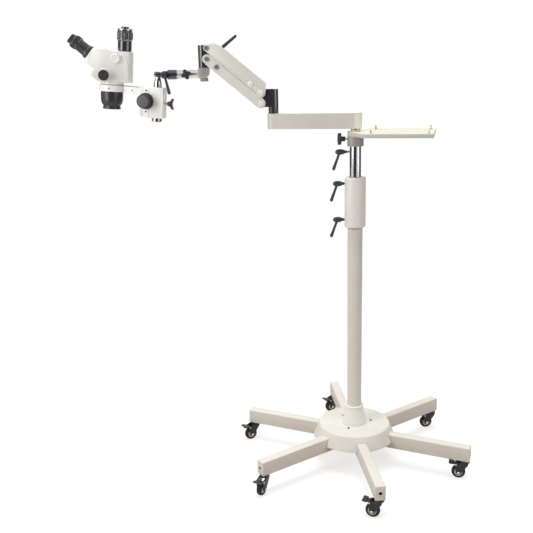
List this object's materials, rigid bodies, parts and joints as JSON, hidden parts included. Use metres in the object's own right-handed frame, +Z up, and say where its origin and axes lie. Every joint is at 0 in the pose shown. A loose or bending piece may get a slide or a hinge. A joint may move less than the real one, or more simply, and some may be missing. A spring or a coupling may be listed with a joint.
{
  "type": "stereo microscope on a floor stand",
  "caption": "Trinocular stereo microscope on a rolling floor stand: caster base, telescoping mast, tray, swinging boom and a parallel-link arm that carries the focus mount and head.",
  "frame": {"origin": "the column's axis where it meets the floor", "axes": "+X towards the tray, +Y away from the viewer's side, +Z up the column"},
  "size_m": [1.6018, 0.948, 1.8158],
  "materials": {
    "frame_paint": "satin cream enamel",
    "light_paint": "satin off-white enamel",
    "cast_paint": "satin cream enamel on a casting",
    "mount_paint": "semi-gloss off-white enamel on a casting",
    "head_shell": "semi-gloss off-white moulding",
    "boot_plastic": "semi-gloss off-white moulding",
    "black_plastic": "matte black moulding",
    "black_metal": "satin black enamel",
    "black_barrel": "satin black anodised barrel",
    "fork_metal": "semi-gloss black enamel",
    "tread": "matte black tread",
    "chrome": "polished",
    "steel": "turned",
    "aluminium": "machined",
    "white_caps": "white-capped steel pins",
    "brass": "turned",
    "lens": "coated glass"
  },
  "bodies": {
    "base": {"base_hub": "frame_paint", "hub_screws": "black_metal", "base_legs": "frame_paint", "column_tube": "frame_paint", "column_boot": "boot_plastic", "column_collar": "light_paint"},
    "caster_1": {"caster_fork_1": "fork_metal"},
    "wheel_1": {"caster_wheel_1": "tread"},
    "caster_2": {"caster_fork_2": "fork_metal"},
    "wheel_2": {"caster_wheel_2": "tread"},
    "pedal_2": {"brake_pedal_2": "black_plastic"},
    "caster_3": {"caster_fork_3": "fork_metal"},
    "wheel_3": {"caster_wheel_3": "tread"},
    "pedal_3": {"brake_pedal_3": "black_plastic"},
    "caster_4": {"caster_fork_4": "fork_metal"},
    "wheel_4": {"caster_wheel_4": "tread"},
    "pedal_4": {"brake_pedal_4": "black_plastic"},
    "caster_5": {"caster_fork_5": "fork_metal"},
    "wheel_5": {"caster_wheel_5": "tread"},
    "pedal_5": {"brake_pedal_5": "black_plastic"},
    "caster_6": {"caster_fork_6": "fork_metal"},
    "wheel_6": {"caster_wheel_6": "tread"},
    "pedal_6": {"brake_pedal_6": "black_plastic"},
    "mast": {"mast_tube": "chrome"},
    "mast_lever": {"mast_lever": "black_plastic"},
    "collar_lever_upper": {"collar_lever_upper": "black_plastic"},
    "collar_lever_lower": {"collar_lever_lower": "black_plastic"},
    "tray": {"tray_plate": "frame_paint", "tray_studs": "brass"},
    "tray_knob": {"tray_knob": "black_plastic"},
    "boom": {"boom_arm": "cast_paint", "boom_spindle": "steel"},
    "elbow": {"elbow_post": "black_metal"},
    "upper_link": {"upper_link": "frame_paint", "upper_link_pins": "white_caps", "balance_spring": "steel"},
    "lower_link": {"lower_link": "frame_paint", "lower_link_pins": "white_caps"},
    "lock_handle": {"arm_lock_handle": "black_plastic"},
    "wrist": {"wrist_post": "black_metal", "swivel_nut": "steel"},
    "swivel": {"swivel_block": "aluminium"},
    "roll_knob": {"roll_knob": "black_plastic"},
    "roll": {"roll_shaft": "steel", "clamp_barrel": "black_metal"},
    "clamp_lever": {"clamp_lever": "black_plastic"},
    "drop": {"drop_pin": "black_metal", "drop_rod": "chrome"},
    "focus": {"focus_block": "mount_paint"},
    "focus_wing": {"focus_wing": "black_plastic"},
    "focus_knobs": {"focus_knobs": "black_plastic"},
    "carriage": {"head_arm": "mount_paint"},
    "head": {"head_body": "head_shell", "head_rear_cover": "head_shell", "objective_cup": "black_barrel", "objective_lens": "lens", "photo_tube": "black_barrel"},
    "zoom_knobs": {"zoom_knobs": "black_plastic"},
    "eyepiece_left": {"eyepiece_left": "black_plastic"},
    "eyepiece_right": {"eyepiece_right": "black_plastic"}
  },
  "joints": [
    {"name": "caster_swivel_1", "type": "hinge", "parent": "base", "child": "caster_1", "pos_m": [0.31191, 0.35692, 0], "axis": [0, 0, 1], "continuous": true},
    {"name": "wheel_spin_1", "type": "hinge", "parent": "caster_1", "child": "wheel_1", "pos_m": [0.28998, 0.34715, 0.028], "axis": [0.4067, -0.9135, 0], "continuous": true},
    {"name": "caster_swivel_2", "type": "hinge", "parent": "base", "child": "caster_2", "pos_m": [-0.15315, 0.44858, 0], "axis": [0, 0, 1], "continuous": true},
    {"name": "wheel_spin_2", "type": "hinge", "parent": "caster_2", "child": "wheel_2", "pos_m": [-0.17098, 0.43252, 0.028], "axis": [0.6691, -0.7431, 0], "continuous": true},
    {"name": "brake_press_2", "type": "hinge", "parent": "caster_2", "child": "pedal_2", "pos_m": [-0.17841, 0.42583, 0.062], "axis": [0.6691, -0.7431, 0], "range_deg": [0, 10]},
    {"name": "caster_swivel_3", "type": "hinge", "parent": "base", "child": "caster_3", "pos_m": [-0.46505, 0.09166, 0], "axis": [0, 0, 1], "continuous": true},
    {"name": "wheel_spin_3", "type": "hinge", "parent": "caster_3", "child": "wheel_3", "pos_m": [-0.48289, 0.0756, 0.028], "axis": [0.6691, -0.7431, 0], "continuous": true},
    {"name": "brake_press_3", "type": "hinge", "parent": "caster_3", "child": "pedal_3", "pos_m": [-0.49032, 0.06891, 0.062], "axis": [0.6691, -0.7431, 0], "range_deg": [0, 10]},
    {"name": "caster_swivel_4", "type": "hinge", "parent": "base", "child": "caster_4", "pos_m": [-0.31191, -0.35692, 0], "axis": [0, 0, 1], "continuous": true},
    {"name": "wheel_spin_4", "type": "hinge", "parent": "caster_4", "child": "wheel_4", "pos_m": [-0.31852, -0.37999, 0.028], "axis": [0.9613, -0.2756, 0], "continuous": true},
    {"name": "brake_press_4", "type": "hinge", "parent": "caster_4", "child": "pedal_4", "pos_m": [-0.32128, -0.3896, 0.062], "axis": [0.9613, -0.2756, 0], "range_deg": [0, 10]},
    {"name": "caster_swivel_5", "type": "hinge", "parent": "base", "child": "caster_5", "pos_m": [0.15315, -0.44858, 0], "axis": [0, 0, 1], "continuous": true},
    {"name": "wheel_spin_5", "type": "hinge", "parent": "caster_5", "child": "wheel_5", "pos_m": [0.12938, -0.44524, 0.028], "axis": [-0.1392, -0.9903, 0], "continuous": true},
    {"name": "brake_press_5", "type": "hinge", "parent": "caster_5", "child": "pedal_5", "pos_m": [0.11948, -0.44385, 0.062], "axis": [-0.1392, -0.9903, 0], "range_deg": [0, 10]},
    {"name": "caster_swivel_6", "type": "hinge", "parent": "base", "child": "caster_6", "pos_m": [0.46505, -0.09166, 0], "axis": [0, 0, 1], "continuous": true},
    {"name": "wheel_spin_6", "type": "hinge", "parent": "caster_6", "child": "wheel_6", "pos_m": [0.44106, -0.09124, 0.028], "axis": [-0.0175, -0.9998, 0], "continuous": true},
    {"name": "brake_press_6", "type": "hinge", "parent": "caster_6", "child": "pedal_6", "pos_m": [0.43106, -0.09107, 0.062], "axis": [-0.0175, -0.9998, 0], "range_deg": [0, 10]},
    {"name": "collar_lever_upper_turn", "type": "hinge", "parent": "base", "child": "collar_lever_upper", "pos_m": [-0.05822, -0.01452, 1.195], "axis": [-0.9703, -0.2419, 0], "range_deg": [-70, 70]},
    {"name": "collar_lever_lower_turn", "type": "hinge", "parent": "base", "child": "collar_lever_lower", "pos_m": [-0.05822, -0.01452, 1.05], "axis": [-0.9703, -0.2419, 0], "range_deg": [-70, 70]},
    {"name": "mast_slide", "type": "slide", "parent": "base", "child": "mast", "axis": [0, 0, 1], "range_m": [-0.035, 0.245]},
    {"name": "mast_lever_turn", "type": "hinge", "parent": "mast", "child": "mast_lever", "pos_m": [-0.03881, -0.00968, 1.32], "axis": [-0.9703, -0.2419, 0], "range_deg": [-70, 70]},
    {"name": "tray_swing", "type": "hinge", "parent": "mast", "child": "tray", "pos_m": [0, 0, 1.399], "axis": [0, 0, 1], "continuous": true},
    {"name": "tray_knob_turn", "type": "hinge", "parent": "tray", "child": "tray_knob", "pos_m": [-0.04366, -0.01089, 1.3705], "axis": [-0.9703, -0.2419, 0], "continuous": true},
    {"name": "boom_swing", "type": "hinge", "parent": "mast", "child": "boom", "pos_m": [0, 0, 1.41], "axis": [0, 0, 1], "continuous": true},
    {"name": "elbow_swing", "type": "hinge", "parent": "boom", "child": "elbow", "pos_m": [-0.326, 0, 1.47], "axis": [0, 0, 1], "range_deg": [-120, 120]},
    {"name": "link_lift", "type": "hinge", "parent": "elbow", "child": "upper_link", "pos_m": [-0.37354, -0.01185, 1.5515], "axis": [-0.2419, 0.9703, 0], "range_deg": [-60, 5], "deforming": ["balance_spring"]},
    {"name": "lower_link_follow", "type": "hinge", "parent": "elbow", "child": "lower_link", "pos_m": [-0.37354, -0.01185, 1.5103], "axis": [-0.2419, 0.9703, 0], "range_deg": [-60, 5]},
    {"name": "wrist_level", "type": "hinge", "parent": "upper_link", "child": "wrist", "pos_m": [-0.57364, -0.06174, 1.72577], "axis": [-0.2419, 0.9703, 0], "range_deg": [-5, 60]},
    {"name": "arm_lock_turn", "type": "hinge", "parent": "upper_link", "child": "lock_handle", "pos_m": [-0.50198, -0.04388, 1.74191], "axis": [0.6263, 0.1562, 0.7638], "range_deg": [-180, 180]},
    {"name": "wrist_swivel", "type": "hinge", "parent": "wrist", "child": "swivel", "pos_m": [-0.58723, -0.06513, 1.61297], "axis": [0, 0, 1], "range_deg": [-100, 100]},
    {"name": "roll_knob_turn", "type": "hinge", "parent": "swivel", "child": "roll_knob", "pos_m": [-0.64716, -0.10584, 1.62897], "axis": [0.2419, -0.9703, 0], "continuous": true},
    {"name": "roll_turn", "type": "hinge", "parent": "swivel", "child": "roll", "pos_m": [-0.64545, -0.07965, 1.62897], "axis": [-0.9703, -0.2419, 0], "range_deg": [-45, 45]},
    {"name": "clamp_lever_turn", "type": "hinge", "parent": "roll", "child": "clamp_lever", "pos_m": [-0.73859, -0.10287, 1.62897], "axis": [0.2419, -0.9703, 0], "range_deg": [0, 40]},
    {"name": "head_tilt", "type": "hinge", "parent": "roll", "child": "drop", "pos_m": [-0.73859, -0.10287, 1.62897], "axis": [0.2419, -0.9703, 0], "range_deg": [-40, 30]},
    {"name": "focus_turn", "type": "hinge", "parent": "drop", "child": "focus", "pos_m": [-0.77025, -0.11076, 1.53145], "axis": [0.0846, 0.0211, 0.9962], "range_deg": [-35, 35]},
    {"name": "focus_wing_turn", "type": "hinge", "parent": "focus", "child": "focus_wing", "pos_m": [-0.72135, -0.1084, 1.51721], "axis": [-0.995, -0.0514, 0.0856], "continuous": true},
    {"name": "focus_slide", "type": "slide", "parent": "focus", "child": "carriage", "axis": [0.0846, 0.0211, 0.9962], "range_m": [-0.022, 0.022]},
    {"name": "focus_knob_turn", "type": "hinge", "parent": "focus", "child": "focus_knobs", "pos_m": [-0.80939, -0.11285, 1.5308], "axis": [0.053, -0.9985, 0.0166], "range_deg": [-215, 215]},
    {"name": "head_turn", "type": "hinge", "parent": "carriage", "child": "head", "pos_m": [-0.95332, -0.11924, 1.60639], "axis": [0.0846, 0.0211, 0.9962], "continuous": true},
    {"name": "zoom_turn", "type": "hinge", "parent": "head", "child": "zoom_knobs", "pos_m": [-0.97999, -0.12978, 1.63448], "axis": [0.3579, -0.9337, -0.0106], "range_deg": [-140, 140]},
    {"name": "dioptre_left", "type": "hinge", "parent": "head", "child": "eyepiece_left", "pos_m": [-1.03591, -0.12218, 1.71786], "axis": [-0.7026, -0.2768, 0.6555], "range_deg": [-60, 60]},
    {"name": "dioptre_right", "type": "hinge", "parent": "head", "child": "eyepiece_right", "pos_m": [-1.01587, -0.17447, 1.71727], "axis": [-0.7026, -0.2768, 0.6555], "range_deg": [-60, 60]}
  ],
  "couplings": [
    {"joint": "lower_link_follow", "follows": "link_lift", "ratio": 1},
    {"joint": "wrist_level", "follows": "link_lift", "ratio": -1},
    {"joint": "focus_knob_turn", "follows": "focus_slide", "rad_per_m": -166.67}
  ]
}
